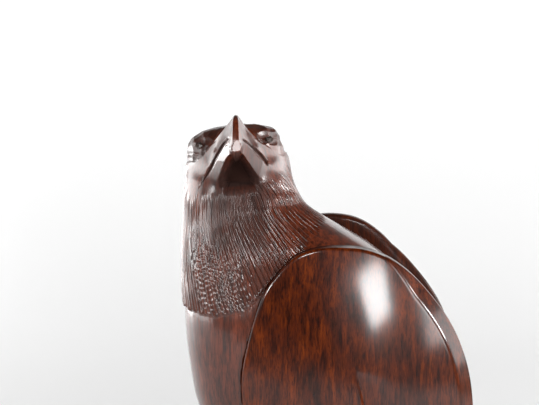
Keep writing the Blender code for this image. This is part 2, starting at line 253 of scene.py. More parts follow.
# ------------------------------------------------------------------ head as an implicit form
EYES = {}
for _sign, _node in ((-1, "right_eye"), (1, "left_eye")):
    _lo, _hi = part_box(_node)
    EYES[_sign] = np.array((_lo + _hi) / 2) * 1000 - np.array((0, SHIFT, 0))

HEAD_O = np.array((0.0, -16.5, 282.6))
_r, _y = math.radians(5.5), math.radians(0.0)
HEAD_R = (np.array(Matrix.Rotation(_y, 3, "Z")) @ np.array(Matrix.Rotation(_r, 3, "X")))


def head_local(p):
    return (p - HEAD_O) @ HEAD_R


def head_world(q):
    return np.asarray(q, float) @ HEAD_R.T + HEAD_O


SK_Z = [255, 260.5, 266.6, 271, 275.6, 281.6, 285, 288, 291, 293.4, 294.9, 296.0]
SK_Y0 = [-42.8, -42.6, -42.2, -41.7, -41.3, -41.1, -40.7, -39.0, -35.6, -29.6, -23.0, -16.0]
SK_Y1 = [17.6, 15.0, 12.2, 10.9, 9.6, 7.4, 6.7, 5.6, 4.4, 2.4, -1.0, -7.0]
SK_XB = [-26.0, -24.3, -23.6, -23.4, -23.4, -23.0, -21.8, -19.6, -15.5, -10.0, -4.0, 2.0]
SK_XF = [27.6, 26.7, 25.2, 23.2, 20.4, 17.6, 17.0, 16.6, 15.4, 13.4, 11.0, 8.0]

# feature lines of the beak and jaws along the head's own forward axis u
U_T = [-12, 0, 8, 16, 24, 30, 34, 38, 41, 43.5, 45.2, 46.3, 46.8]
RIDGE_W = [9, 11.0, 12.2, 14.2, 17.0, 18.9, 19.5, 18.6, 16.0, 12.2, 8.6, 5.4, 4.0]
STRIP_A = [2.0, 2.0, 2.0, 1.8, 1.2, 0.9, 0.8, 1.1, 1.3, 1.45, 1.45, 1.3, 0.6]
BAND_A = [24.0, 24.0, 17.4, 10.4, 5.1, 2.5, 1.2, 1.25, 1.45, 1.6, 1.6, 1.45, 0.8]
BAND_W = [-5.0, -3.4, -1.6, 6.4, 13.0, 17.0, 18.9, 18.0, 15.3, 11.5, 7.9, 4.9, 3.7]
LIP_A = [23.0, 21.6, 18.4, 15.0, 11.4, 8.7, 6.9, 5.1, 3.9, 3.2, 2.7, 1.9, 0.9]
LIP_W = [-24.0, -18.0, -13.2, -7.7, -2.6, 1.3, 4.0, 5.8, 6.2, 5.0, 3.0, 2.6, 3.3]
JAW_U = [-12, 0, 8, 16, 25, 33, 38, 41, 42.2]
JAW_A = [21.0, 19.4, 17.4, 13.8, 9.6, 6.1, 3.9, 2.5, 1.0]
JAW_W = [-32.0, -28.0, -23.4, -17.6, -10.9, -3.5, 0.4, 1.6, 3.2]


def beak_bend(u, w):
    """Sideways lean of the beak's middle line: the ridge stands upright over a tilted head."""
    return np.interp(w, [-2, 6, 10, 19], [0.0, 1.25, 1.4, 2.1]) * sstep(12, 33, u)


def front_view(p):
    """Where a point stands as the face is seen from in front and a little above, in mm from the head's middle."""
    c, t = math.cos(math.radians(6.5)), math.sin(math.radians(6.5))
    scale = 950.0 / (950.0 - p[:, 0] * c - (p[:, 2] - 256.25) * t)
    base = (HEAD_O[2] - 256.25) * c * 950.0 / (950.0 - (HEAD_O[2] - 256.25) * t)
    return np.stack([(p[:, 1] - HEAD_O[1]) * scale,
                     ((p[:, 2] - 256.25) * c - p[:, 0] * t) * scale - base], -1)


MOUTH = [    # corner points of the two cuts between the jaws as seen from in front, half widths, depth
    (np.array([(-3.4, 5.6), (-5.6, 3.4), (-8.6, -1.6), (-12.0, -8.0), (-14.6, -12.6), (-16.7, -15.8)]),
     [0.5, 1.0, 0.95, 0.7, 0.35], 1.15),
    (np.array([(4.1, 5.0), (6.8, 2.9), (9.6, 0.4), (12.4, -2.4), (14.6, -5.2), (15.8, -7.4)]),
     [0.45, 0.75, 0.95, 1.1, 0.4], 1.05),
]


def hollow_half(w):
    """Half width of the hollow under the bill at a height, and how far its middle is off the midline."""
    return (np.interp(w, [-15.2, -12.2, -6.3, -0.5, 2.0], [7.5, 7.0, 5.2, 2.3, 0.8]),
            np.interp(w, [-15.0, -6.0, 2.0], [0.2, 1.0, 0.5]))


def poly_sd(a, w, pts):
    """Signed distance in the slice plane to a chain of corner points, closed on the midline."""
    d = np.full(a.shape, 1e9)
    inside = np.zeros(a.shape, bool)
    n = len(pts)
    for i in range(n):
        ax, ay = pts[i]
        bx, by = pts[(i + 1) % n]
        if i < n - 1:
            ex, ey = bx - ax, by - ay
            t = np.clip(((a - ax) * ex + (w - ay) * ey) / np.maximum(ex * ex + ey * ey, 1e-9), 0, 1)
            d = np.minimum(d, np.hypot(a - ax - t * ex, w - ay - t * ey))
        cross = (ay > w) != (by > w)
        with np.errstate(divide="ignore", invalid="ignore"):
            xi = ax + (w - ay) * (bx - ax) / np.where(by == ay, 1e-9, by - ay)
        inside ^= cross & (a < xi)
    return np.where(inside, -d, d)


def head_sd(p):
    z = np.clip(p[:, 2], 255, 296)
    y0, y1 = curve(z, SK_Z, SK_Y0), curve(z, SK_Z, SK_Y1)
    xb, xf = curve(z, SK_Z, SK_XB), curve(z, SK_Z, SK_XF)
    cx, cy = (xb + xf) / 2, (y0 + y1) / 2
    wx, wy = (xf - xb) / 2, (y1 - y0) / 2
    n = 2.15
    rho = (np.abs((p[:, 0] - cx) / wx) ** n + np.abs((p[:, 1] - cy) / wy) ** n) ** (1 / n)
    skull = (rho - 1) * np.minimum(wx, wy)
    skull = np.maximum(skull, p[:, 2] - 296.0)

    q = head_local(p)
    q = np.stack([q[:, 0], q[:, 1] - beak_bend(q[:, 0], q[:, 2]), q[:, 2]], -1)
    u, a, w = q[:, 0], np.abs(q[:, 1]), q[:, 2]
    uc = np.clip(u, -12, 46.8)
    ridge, strip = curve(uc, U_T, RIDGE_W), curve(uc, U_T, STRIP_A)
    band_a, band_w = curve(uc, U_T, BAND_A), curve(uc, U_T, BAND_W)
    lip_a, lip_w = curve(uc, U_T, LIP_A), curve(uc, U_T, LIP_W)
    zero = np.zeros_like(u)
    upper = poly_sd(a, w, [(zero, ridge + 0.25), (strip, ridge - 0.1), (band_a, band_w),
                           (lip_a, lip_w), (zero, lip_w)])
    upper = smax(np.maximum(upper, u - 46.8), -5.0 - u, 2.0)
    jc = np.clip(u, -12, 42.2)
    jaw_a, jaw_w = curve(jc, JAW_U, JAW_A), curve(jc, JAW_U, JAW_W)
    top = np.minimum(lip_w, curve(jc, U_T, LIP_W))
    lower = poly_sd(a, w, [(zero, top + 1.0), (lip_a - 0.35, top + 1.0), (lip_a - 0.35, top - 0.4),
                           (jaw_a, jaw_w), (zero, jaw_w + 1.5)])
    lower = smax(np.maximum(lower, u - 42.2), -5.0 - u, 2.0)
    tip = np.sqrt(((u - 43.9) / 2.9) ** 2 + (a / 2.9) ** 2 + ((w - 4.9) / 2.5) ** 2)
    tip = (tip - 1) * 2.5
    beak = smin(smin(upper, tip, 0.5), lower, 0.25)
    # flat cheeks between the jaw and the side of the neck
    for side, level in ((-1, -19.0), (1, -44.6)):
        cheek = p @ (np.array((0.50, 0.84 * side, -0.20)) / 0.998) - level
        cheek = cheek - 9.0 * sstep(280, 286, p[:, 2]) - 8.0 * sstep(277, 262, p[:, 2])
        skull = smax(skull, cheek, 3.5)
    tip_c = head_world(np.array((43.9, 1.3, 4.9)))
    facet = (p - tip_c) @ np.array((0.990, 0.090, 0.109)) - 1.75
    beak = smax(beak, np.where(u > 38, facet, -9.0), 0.12)
    soft = 0.8 + 4.0 * sstep(0.6, -2.6, w - band_w) * sstep(30, 20, u) * sstep(0, 5, a)
    sd = smin(skull, beak, soft)
    # mouth: a thin cut each side, longer on the bird's right
    front = front_view(p)
    for line, wide, deep in MOUTH:
        near = np.nonzero((sd < 3.0) & (p[:, 0] > 2.0) & (np.abs(front[:, 0] - line[:, 0].mean()) < 12))[0]
        best = np.full(len(near), 1e9)
        rad = np.full(len(near), 0.3)
        for i in range(len(line) - 1):
            e = line[i + 1] - line[i]
            v = front[near] - line[i]
            t = np.clip((v @ e) / (e @ e), 0, 1)
            d = np.hypot(*(v - t[:, None] * e).T)
            share = (i + t) / (len(line) - 1)
            rad = np.where(d < best, np.interp(share, [0, 0.25, 0.6, 0.88, 1], wide), rad)
            best = np.minimum(best, d)
        sd[near] += deep * 0.5 * (1 + np.cos(math.pi * np.clip(best / (1.25 * rad), 0, 1)))
    # hollow between the jaws
    half, mid = hollow_half(w)
    wall = np.abs(q[:, 1] - mid) - half
    hollow = np.maximum(smax(wall * 0.9, (-15.2 - w) * 0.9 + 0.10 * (u - 22), 2.2), np.maximum(w - 1.4, 18.5 - u))
    sd = smax(sd, -hollow, 1.0)
    # eye hollows
    for sign in (-1, 1):
        c = EYES[sign]
        d = np.linalg.norm((p - c) / np.array((1.0, 1.3, 1.0)), axis=1)
        sd = smax(sd, 3.2 - d, 0.8)
    return sd


def cast(origin, direction, far=62.0, near=4.0, steps=58):
    """Outermost crossing of each ray with the head."""
    n = len(origin)
    ts = np.linspace(far, near, steps)
    hit = np.full(n, near)
    prev = np.full(n, far)
    alive = np.ones(n, bool)
    for t in ts:
        idx = np.nonzero(alive)[0]
        if len(idx) == 0:
            break
        s = head_sd(origin[idx] + direction[idx] * t)
        inside = s < 0
        hit[idx[inside]] = t
        alive[idx[inside]] = False
        prev[idx[~inside]] = t
    lo, hi = hit.copy(), np.minimum(prev, far)
    for _ in range(9):
        mid = (lo + hi) / 2
        s = head_sd(origin + direction * mid[:, None])
        lo = np.where(s < 0, mid, lo)
        hi = np.where(s < 0, hi, mid)
    return (lo + hi) / 2


def build_body():
    C0 = np.array((8.0, -16.5, 276.0))
    c1 = np.array((1.3, -14.25, 262.3))
    el = np.r_[np.linspace(86, 56, 20), np.linspace(54.8, 0.5, 110)]
    zs = np.linspace(275.6, 262.9, 22)
    rows_o, rows_d = [], []
    ct, st = np.cos(THETA), np.sin(THETA)
    flat = np.stack([st, -ct, 0 * ct], -1)
    for e in np.radians(el):
        rows_o.append(np.repeat(C0[None], COLS, 0))
        rows_d.append(flat * math.cos(e) + np.array((0, 0, math.sin(e))))
    for z in zs:
        f = (276.0 - z) / (276.0 - 262.3)
        o = C0 * (1 - f) + c1 * f
        o[2] = z
        rows_o.append(np.repeat(o[None], COLS, 0))
        rows_d.append(flat)
    O, D = np.concatenate(rows_o), np.concatenate(rows_d)
    t = cast(O, D)
    head = (O + D * t[:, None]).reshape(-1, COLS, 3)
    pole_t = cast(C0[None], np.array([[0.0, 0.0, 1.0]]))
    pole = C0 + np.array((0, 0, pole_t[0]))
    ts = np.r_[np.linspace(0, 2.2, 32), np.linspace(2.22, 6.6, 104)]
    neck = section_rows(ts)
    P = np.concatenate([head, neck])
    for _ in range(14):          # ease the head into the neck
        for j in range(len(head) - 10, len(head) + 12):
            P[j] = 0.25 * P[j - 1] + 0.5 * P[j] + 0.25 * P[j + 1]
    t_of = np.r_[-1 + np.arange(len(head)) / len(head), ts]
    N = row_normals(P)
    if np.mean(np.sum(N * (P - P.mean((0, 1))), -1)) < 0:
        N = -N
    move, cut = carve_body(P, N, t_of, len(head))
    # painted shade from the neck's V-cuts and the head's hollows
    dark = np.clip(cut + hollows(P, len(head)), 0, 1)
    P = P + move
    # the torso below the ruff, at half the columns
    ts2 = np.linspace(6.6, len(SECTIONS) - 1, 84)[1:]
    torso = section_rows(ts2)[:, ::2]
    Nt = row_normals(torso)
    if np.mean(np.sum(Nt * (torso - torso.mean((0, 1))), -1)) < 0:
        Nt = -Nt
    torso = torso + Nt * polish_field(torso)[..., None]
    P, torso = seat_wings(P), seat_wings(torso)
    split = len(head) + 14
    top = P[:split]
    head_verts = np.concatenate([top.reshape(-1, 3), pole[None]])
    head_faces = grid_faces(len(top), COLS) + [(len(head_verts) - 1, (k + 1) % COLS, k) for k in range(COLS)]
    head_dark = np.r_[dark[:split].ravel(), 0]
    body_dark = np.r_[dark[split - 1:].ravel(), np.zeros(torso.shape[0] * torso.shape[1] + 1)]
    P = P[split - 1:]
    r1, r2, half = len(P), len(torso), COLS // 2
    verts = np.concatenate([P.reshape(-1, 3), torso.reshape(-1, 3), torso[-1].mean(0)[None]])
    faces = grid_faces(r1, COLS)
    base = r1 * COLS
    faces += grid_faces(r2, half, base)
    lastrow = (r1 - 1) * COLS
    for k in range(half):
        a0, a1, a2 = lastrow + 2 * k, lastrow + 2 * k + 1, lastrow + (2 * k + 2) % COLS
        b0, b1 = base + k, base + (k + 1) % half
        faces += [(a0, a1, b0), (a1, b1, b0), (a1, a2, b1)]
    ti = len(verts) - 1
    tb = base + (r2 - 1) * half
    faces += [(ti, tb + k, tb + (k + 1) % half) for k in range(half)]
    return (head_verts, head_faces, head_dark), (verts, faces, body_dark)


def hollows(P, head_rows):
    """Painted shade with an unpolished finish, 0 to 1: in the chin hollow, under the jaws, in the mouth cuts and the
    eye hollows, and over the rough-cut brows.
    """
    out = np.zeros(P.shape[:2])
    p = P[:head_rows + 12].reshape(-1, 3)
    q = head_local(p)
    q = np.stack([q[:, 0], q[:, 1] - beak_bend(q[:, 0], q[:, 2]), q[:, 2]], -1)
    u, a, w = q[:, 0], np.abs(q[:, 1]), q[:, 2]
    half, mid = hollow_half(w)
    # painted shade deep in the chin hollow under the bill
    deep = sstep(0.9, -0.6, np.abs(q[:, 1] - mid) - half) * sstep(1.8, 0.6, w) * sstep(-15.8, -14.6, w)
    jaw_w = curve(np.clip(u, -12, 42.2), JAW_U, JAW_W)
    behind_jaw = sstep(-0.3, 2.2, (37.5 - 1.08 * (0.4 - w)) - u)
    v = deep * np.clip(behind_jaw * sstep(13, 16, u), 0, 1) * (1.0 - 0.30 * sstep(-6, -15, w))
    jaw_a = curve(np.clip(u, -12, 42.2), JAW_U, JAW_A)
    # painted shade on the underside of the jaws beside the hollow
    v = np.maximum(v, 0.62 * sstep(0.2, -1.4, a - jaw_a) * sstep(1.2, -0.8, w - jaw_w) * sstep(17, 21, u)
                   * sstep(-16.5, -14.5, w))
    front = front_view(p)
    for line, wide, depth in MOUTH:
        best = np.full(len(p), 1e9)
        for i in range(len(line) - 1):
            e = line[i + 1] - line[i]
            t = np.clip(((front - line[i]) @ e) / (e @ e), 0, 1)
            best = np.minimum(best, np.hypot(*((front - line[i]) - t[:, None] * e).T))
        # painted shade along the mouth cuts
        v = np.maximum(v, 0.9 * sstep(0.55, 0.15, best) * (p[:, 0] > 4))
    for sign in (-1, 1):
        # painted shade in the eye hollows
        v = np.maximum(v, 0.8 * sstep(6.2, 3.2, np.linalg.norm(p - EYES[sign], axis=1)))
    # over the rough-cut brows the finish is left unpolished, and the colour is painted darker as shade
    v = np.maximum(v, 0.5 * brow_field(head_local(p)))
    out[:head_rows + 12] = v.reshape(-1, P.shape[1])
    return out


def ruff_edge(y):
    """Height of the lower edge of the carved neck feathers, by Y."""
    return np.interp(y, [-46, -34, -25, -17, -11, -7.5, 0.7, 8, 13, 19.3, 26, 33],
                     [206.5, 204.3, 204.6, 206.8, 209.2, 213.8, 223.2, 230.2, 233.8, 240.2, 246.0, 252.0])


def polish_field(P):
    """Gentle unevenness of hand polishing, in mm."""
    x, y, z = P[..., 0], P[..., 1], P[..., 2]
    return 0.10 * noise2(y / 19.0 + 3, z / 23.0 + x / 31.0, 5)


def carve_body(P, N, t_of, head_rows):
    x, y, z = P[..., 0], P[..., 1], P[..., 2]
    rows = len(P)
    h = polish_field(P)
    # length along each column, from the head down
    step = np.linalg.norm(np.diff(P, axis=0), axis=-1)
    s = np.concatenate([np.zeros((1, COLS)), np.cumsum(step, 0)])
    s = s - s[head_rows:head_rows + 1]
    k = np.arange(COLS)[None, :] / 4.0
    stroke = np.floor(k).astype(int) + np.zeros((rows, 1), int)
    f = k - np.floor(k)
    # where the strokes start on the head, and where they end above the breast
    q = head_local(P.reshape(-1, 3)).reshape(P.shape)
    u, a, w = q[..., 0], np.abs(q[..., 1]), q[..., 2]
    side_front = sstep(2.0, 16.0, u)
    start = np.where(q[..., 1] > 0, -8.5, -13.5) - 6.0 * side_front
    start = start + 2.2 * (hash2(stroke, 0, 3) - 0.5) * 2
    on_head = sstep(1.0, -4.5, w - start)
    throat = sstep(-15.5, -24.0, w + 3.0 * (hash2(stroke, 3, 8) - 0.5))
    under = sstep(10.5, 7.5, a) * sstep(8, 12, u)
    on_head = on_head * (1 - under) + throat * under
    edge = ruff_edge(y) + 1.5 * (hash2(stroke, 1, 4) - 0.5)
    above = z - edge
    fade = 0.35 + 2.0 * sstep(-4, 16, y) + 9.0 * sstep(20, 34, y)
    mask = on_head * sstep(-0.35, fade, above)
    # V-cuts between the strokes, deeper and wider towards the shoulders
    groove = np.where(f == 0, 1.0, np.where(f == 0.5, 0.0, 0.34))
    amp = 0.45 + 0.95 * smooth_hash(stroke, s / 13.0 + 5.0 * hash2(stroke, 7), 9)
    wide = sstep(250, 222, z)
    th = np.degrees(THETA)[None, :]
    fan = sstep(62, 84, th) * sstep(262, 244, z)
    amp = amp * (1 + fan * np.where(stroke % 2 == 0, 0.45, -0.72))
    cheekside = sstep(96, 110, th) * sstep(180, 160, th) * sstep(234, 246, z)
    amp = amp * (1 + cheekside * np.where(stroke % 2 == 0, 1.3, -0.5))
    amp = amp * (1 - 0.4 * sstep(46, 62, th) * sstep(110, 96, th) * sstep(232, 246, z))
    depth = (0.56 + 0.30 * wide) * amp
    h_str = -depth * groove
    # over the side of the breast each stroke breaks into short scoops; elsewhere it runs long
    beads = sstep(26, 38, th) * sstep(82, 62, th) * sstep(247, 231, z)
    length = 13.0 - 10.6 * beads
    ds = np.concatenate([np.zeros((1, COLS)), step])
    phase = np.cumsum(ds / length, 0) + 7.3 * hash2(stroke, 2, 5)
    ph = phase - np.floor(phase)
    lip = ph ** 1.6 - 0.42
    lip_amp = (0.06 + 0.42 * beads) * (0.45 + 1.0 * hash2(stroke, np.floor(phase).astype(int), 11))
    h_lip = lip_amp * lip * np.where(f == 0, 0.3, 1.0)
    # some strokes start lower down than others under the cheeks
    h += mask * (h_str + h_lip)
    # the ruff stands proud of the breast, which is hollowed below it; over the mantle it fades out
    below = np.clip(-above, 0, None)
    front_part = sstep(14, 2, y)
    h += mask * 0.35 * front_part
    h -= ((1 - sstep(-0.35, 0.35, above)) * on_head * 1.15 * np.exp(-below / 7.0)
          * (1 - sstep(11, 19, below)) * front_part)
    # gouge marks over the brows and round the eyes
    h += chips(q)
    # the cuts waver a little from side to side
    T = np.roll(P, -1, 1) - np.roll(P, 1, 1)
    T /= np.maximum(np.linalg.norm(T, axis=-1, keepdims=True), 1e-9)
    sway = 1.1 * noise2(k / 5.0 + np.zeros_like(s), s / 13.0 + 4, 13) + 0.3 * noise2(k / 2.1 + np.zeros_like(s), s / 8.0, 14)
    # painted shade: the bottoms of the V-cuts are darkened, more where they are deeper
    neck_shade = 0.55 * mask * np.where(f == 0, 1.0, 0.0) * np.clip(depth / 0.6, 0, 1)
    # painted shadow: the throat under the beak's overhang is darkened
    throat_shade = 0.66 * sstep(230, 241, z) * sstep(-34, -26, y) * sstep(3, -6, y) * sstep(4, 10, x)
    neck_shade = np.maximum(neck_shade, throat_shade * sstep(290, 266, z))
    return N * h[..., None] + T * (mask * sway * 1.1)[..., None], neck_shade


def smooth_hash(i, v, seed):
    """Random value per column i that drifts along v."""
    v0 = np.floor(v).astype(int)
    t = v - v0
    t = t * t * (3 - 2 * t)
    return hash2(i, v0, seed) * (1 - t) + hash2(i, v0 + 1, seed) * t


def brow_field(Q):
    """1 over the rough-cut brows, 0 on the polished bands below them."""
    l = np.abs(Q[:, 1] - beak_bend(Q[:, 0], Q[:, 2]))
    band = np.interp(l, [3.0, 5.1, 10.4, 13.5, 17.4, 21.0, 24.0], [15.6, 13.0, 6.6, 2.2, -1.6, -3.2, -3.6])
    band = band + 3.0 * sstep(12, 18, Q[:, 1]) - 0.5 * sstep(-14, -20, Q[:, 1])
    return sstep(0.2, 1.0, Q[:, 2] - band) * sstep(-9.0, -3.0, Q[:, 0]) * sstep(1.5, 3.5, l) * sstep(27, 24, Q[:, 0])


def chips(q):
    """Flat gouge cuts over the brows and round the eyes, in mm."""
    shape = q.shape[:2]
    Q = q.reshape(-1, 3)
    out = np.zeros(len(Q))
    field = brow_field(Q)
    idx = np.nonzero(field > 0.01)[0]
    P = Q[idx] * np.array((0.75, 1.0, 1.25))
    size = 5.2
    cell = np.floor(P / size).astype(int)
    best = np.full(len(idx), 1e9)
    level = np.zeros(len(idx))
    for dx in (-1, 0, 1):
        for dy in (-1, 0, 1):
            for dz in (-1, 0, 1):
                c = cell + np.array((dx, dy, dz))
                hx = [hash2(c[:, 0] * 31 + c[:, 2], c[:, 1], 50 + i) for i in range(4)]
                centre = (c + 0.12 + 0.76 * np.stack(hx[:3], -1)) * size
                d = np.sum((P - centre) ** 2, 1) + 2.2 * hx[3]
                best = np.minimum(best, d)
    scoop = 0.055 * np.clip(best, 0, 14.0) - 0.62
    calm = 1 - 0.6 * sstep(9.0, 12.5, Q[idx, 2]) * sstep(8.0, 2.0, Q[idx, 0])
    out[idx] = field[idx] * (scoop * calm - 0.10)
    return out.reshape(shape)


def seat_wings(P):
    """Let the wings in: flatten the flank under each wing panel."""
    Q = P.copy()
    x, y, z = P[..., 0], P[..., 1], P[..., 2]
    for side in (1, -1):
        inside = in_wing(y, z, side, -0.4) & (x * side > 20)
        lim = SEAT - 0.3 - wing_fold(z)
        Q[..., 0] = np.where(inside & (x * side > lim), side * lim, Q[..., 0])
    return Q


# ------------------------------------------------------------------ wings
FEATHERS = [   # where each cut starts: share across the wing from rear edge to front edge, share down it; all run out near the wing's lower end
    (0.50, 0.02), (0.36, 0.22), (0.22, 0.40), (0.62, 0.16), (0.76, 0.34), (0.88, 0.52),
]


def wing_surface(side, r, pts):
    """Outer face X over the outline scaled by r about the centre."""
    R = np.hypot(pts[:, 0] - WC[0], pts[:, 1] - WC[1])
    yz = WC + r[:, None, None] * (pts - WC)[None]
    d = (1 - r[:, None]) * R[None]
    ang = np.arctan2(pts[:, 1] - WC[1], pts[:, 0] - WC[0])
    beta = sstep(1.62, 1.12, ang) * sstep(-1.15, -0.75, ang)      # rear margin
    rr = r[:, None]
    fall = 9.6 - 1.5 * np.cos(ang - 0.9)
    dome = 54.4 - fall * rr ** 2
    X = smin(dome, 41.6 + 0.98 * d + 7.0 * (1 - beta), 0.8)
    X = X - 0.5 * sstep(0.9, 0.0, d) * (1 - beta)
    return X, yz, d, beta


def build_wing(side, name):
    count = 320
    pts = wing_outline(side, count)
    r = np.r_[1.0, 0.996, np.linspace(0.990, 0.0, 86)[:-1]]
    X, yz, d, beta = wing_surface(side, r, pts)
    Y, Z = yz[..., 0], yz[..., 1]
    h = feather_field(Y, Z) + 0.10 * noise2(Y / 17.0 + side, Z / 25.0, 8)
    h = h * sstep(0.0, 1.6, d)
    X = X + h - wing_fold(Z)
    outer = np.stack([side * X, Y, Z], -1)
    ri = np.r_[1.0, 0.996, 0.988, 0.976, 0.955, 0.93, 0.90, 0.86, np.linspace(0.82, 0.15, 16)]
    yzi = WC + ri[:, None, None] * (pts - WC)[None]
    R = np.hypot(pts[:, 0] - WC[0], pts[:, 1] - WC[1])
    di = (1 - ri[:, None]) * R[None]
    # the inner face is dished where it stands free above the back
    free = sstep(14.0, 2.0, di) * sstep(20, 40, yzi[..., 0]) * sstep(150, 185, yzi[..., 1])
    Xi = SEAT + 1.0 * (1 - sstep(0, 0.9, di)) - 1.1 * free
    Xi = Xi - wing_fold(yzi[..., 1])
    inner = np.stack([side * Xi, yzi[..., 0], yzi[..., 1]], -1)[::-1]
    P = np.concatenate([inner, outer])
    rows = len(P)
    c0 = inner[0].mean(0)
    c0[0] = side * (SEAT - wing_fold(WC[1]))
    c1 = np.array((side * 54.4, WC[0], WC[1]))
    verts = np.concatenate([P.reshape(-1, 3), c0[None], c1[None]])
    flip = side < 0
    painted_shade_and_grain = np.zeros((rows, count))
    inner_rows = len(ri)
    # painted shade on the inner face of each wing, where it faces the body, deeper towards the front
    painted_shade_and_grain[:inner_rows] = 0.50 + 0.35 * sstep(40, 16, P[:inner_rows, :, 1])
    painted_shade_and_grain = np.r_[painted_shade_and_grain.ravel(), 0.5, 0.0]
    faces = grid_faces(rows, count, flip=flip)
    n = len(verts)
    a = [(n - 2, (k + 1) % count, k) for k in range(count)]
    b0 = (rows - 1) * count
    b = [(n - 1, b0 + k, b0 + (k + 1) % count) for k in range(count)]
    faces += [f[::-1] for f in a + b] if flip else a + b
    return verts, faces, painted_shade_and_grain


def wing_frame(Y, Z):
    """Shares across and down the lower wing: across 0 at the rear edge, 1 at the front edge."""
    zz = np.array([48, 54, 66, 80, 93, 108, 126, 146, 172, 192, 215, 240.0])
    yf = np.array([108, 97, 82, 62, 40, 18, 0, -10, -13.4, -10.6, -3.6, 20.0])
    yr = np.array([110.5, 111.4, 109.4, 106.8, 104.8, 102.6, 100.6, 99.3, 97.3, 92.0, 78.6, 45.0])
    f, r = np.interp(Z, zz, yf), np.interp(Z, zz, yr)
    return (r - Y) / np.maximum(r - f, 1.0), (185.0 - Z) / 137.0


def feather_field(Y, Z):
    """Long overlapping flight feathers cut over the lower wing, in mm."""
    across, down = wing_frame(Y, Z)
    width = np.interp(Z, [48, 66, 80, 93, 108, 126, 146, 172], [3, 27, 45, 65, 85, 101, 109, 111.0])
    out = np.zeros_like(Y)
    for q, s0 in FEATHERS:
        centre = q + 0.05 * np.sin(3.0 * down + 6 * q)
        e = (centre - across) * width                 # mm to the rear of the cut
        on = sstep(s0, s0 + 0.10, down) * sstep(0.985, 0.93, down)
        step = -1.25 * sstep(0.0, 0.9, e) * np.exp(-np.clip(e - 0.9, 0, None) / 7.0)
        lip = 0.18 * np.exp(-((e + 0.4) / 0.7) ** 2)
        out += on * (step + lip)
    return out


# ------------------------------------------------------------------ tail, legs and stump
TAIL = [(79, 92, 11, 20), (86.5, 82, 9.2, 20.4), (96.5, 68.7, 7, 20.8), (107.5, 54, 5.4, 21.3),
        (118, 40, 4.2, 23.2), (126.4, 28.8, 3, 24)]
LEG_X = 16.5
LEG = [(111, 20, 11.2, 15), (101, 20, 11.2, 15), (91, 19.2, 10.9, 14), (81, 17.2, 9.3, 11.4),
       (73, 15.2, 7.2, 8.6), (66, 14, 6.4, 7.4), (60.3, 13.6, 6.6, 7.6)]
TOES = [(-24.0, 25.0), (3.0, 30.0), (32.0, 26.0), (176.0, 19.0)]
FOOT_Z = 60.3
STUMP = [(1.8, 46, 56), (5, 48, 58.5), (14, 48.5, 59), (28, 45.5, 56), (42, 42, 52.5), (53, 39.5, 49.5),
         (58.4, 36.5, 46), (60, 32.5, 41.5)]


def superpoints(count, power):
    a = np.arange(count) / count * 2 * math.pi
    c, s2 = np.cos(a), np.sin(a)
    r = (np.abs(c) ** power + np.abs(s2) ** power) ** (-1 / power)
    return c * r, s2 * r


def inward(P):
    N = row_normals(P)
    out = P - P.mean(1, keepdims=True)
    return N if np.mean(np.sum(N * out, -1)) < 0 else -N


def closed_grid(P):
    """Verts and faces of a skin of rings with both ends closed."""
    rows, cols = P.shape[:2]
    verts = np.concatenate([P.reshape(-1, 3), P[0].mean(0)[None], P[-1].mean(0)[None]])
    faces = grid_faces(rows, cols)
    top, end = rows * cols, rows * cols + 1
    base = (rows - 1) * cols
    for k in range(cols):
        faces += [(top, (k + 1) % cols, k), (end, base + k, base + (k + 1) % cols)]
    return verts, faces


def join(parts):
    vs, fs, ws, off = [], [], [], 0
    for v, f, w in parts:
        vs.append(v)
        fs += [tuple(i + off for i in face) for face in f]
        ws.append(w)
        off += len(v)
    return np.concatenate(vs), fs, np.concatenate(ws)


def build_tail():
    rows, cols = 140, 192
    t = np.linspace(0, 5, rows)
    y, z, depth, w = (catmull(TAIL, t)[:, i][:, None] for i in range(4))
    y[0] += 0.18
    z[0] -= 0.24
    c, s2 = superpoints(cols, 2.25)
    c, s2 = c[None, :], s2[None, :]
    camber = 3.0 * (1 - s2 * s2) * (t[:, None] / 5.0)
    P = np.stack([w * s2, y - 0.8 * c * depth + 0.8 * camber, z - 0.6 * c * depth + 0.6 * camber], -1)
    q = np.abs(s2) * 4.6 * np.ones_like(y) + 0.5
    i, f = np.floor(q), q - np.floor(q)
    f = np.where(i == 0, (q - 0.5) * 2, f)
    upper = sstep(0.25, -0.25, c)
    shingle = np.where(i == 0, 0.0, (1 - f) ** 1.6 * sstep(0, 0.10, f))
    along = t[:, None] * 15.8
    shaft = np.exp(-((f - np.where(i == 0, 0.0, 0.5)) * w / 4.6 / 0.45) ** 2)
    off = np.abs(f - 0.5) * w / 4.6
    barbs = 0.5 - 0.5 * np.cos(2 * math.pi * (along + 1.1 * off + 2.1 * i) / 1.9)
    deep = (1.0 * shingle * (0.45 + 0.55 * upper) + 0.20 * barbs * (1 - shaft) - 0.12 * shaft)
    fade = sstep(0, 0.5, t[:, None]) * sstep(0.0, 0.25, np.abs(c))
    deep = np.clip(deep + 0.12, 0, None) * fade
    deep += 0.35 * sstep(3.4, 5.0, t[:, None]) * (0.5 + 0.5 * np.cos(2 * math.pi * f)) * fade
    P = P + inward(P) * deep[..., None]
    back = (2 * f - 1) ** 2 * np.where(i == 0, 0.0, 1.0) * 2.6 * sstep(4.55, 5.0, t[:, None])
    P = P - back[..., None] * np.array((0, 0.6, -0.8))
    # painted shade in the crease under each overlapping feather
    painted_shade_and_grain = np.clip(0.55 * shingle * fade * sstep(0.32, 0.05, f), 0, 1)
    v, fcs = closed_grid(P)
    return v, fcs, np.r_[painted_shade_and_grain.ravel(), 0, 0]


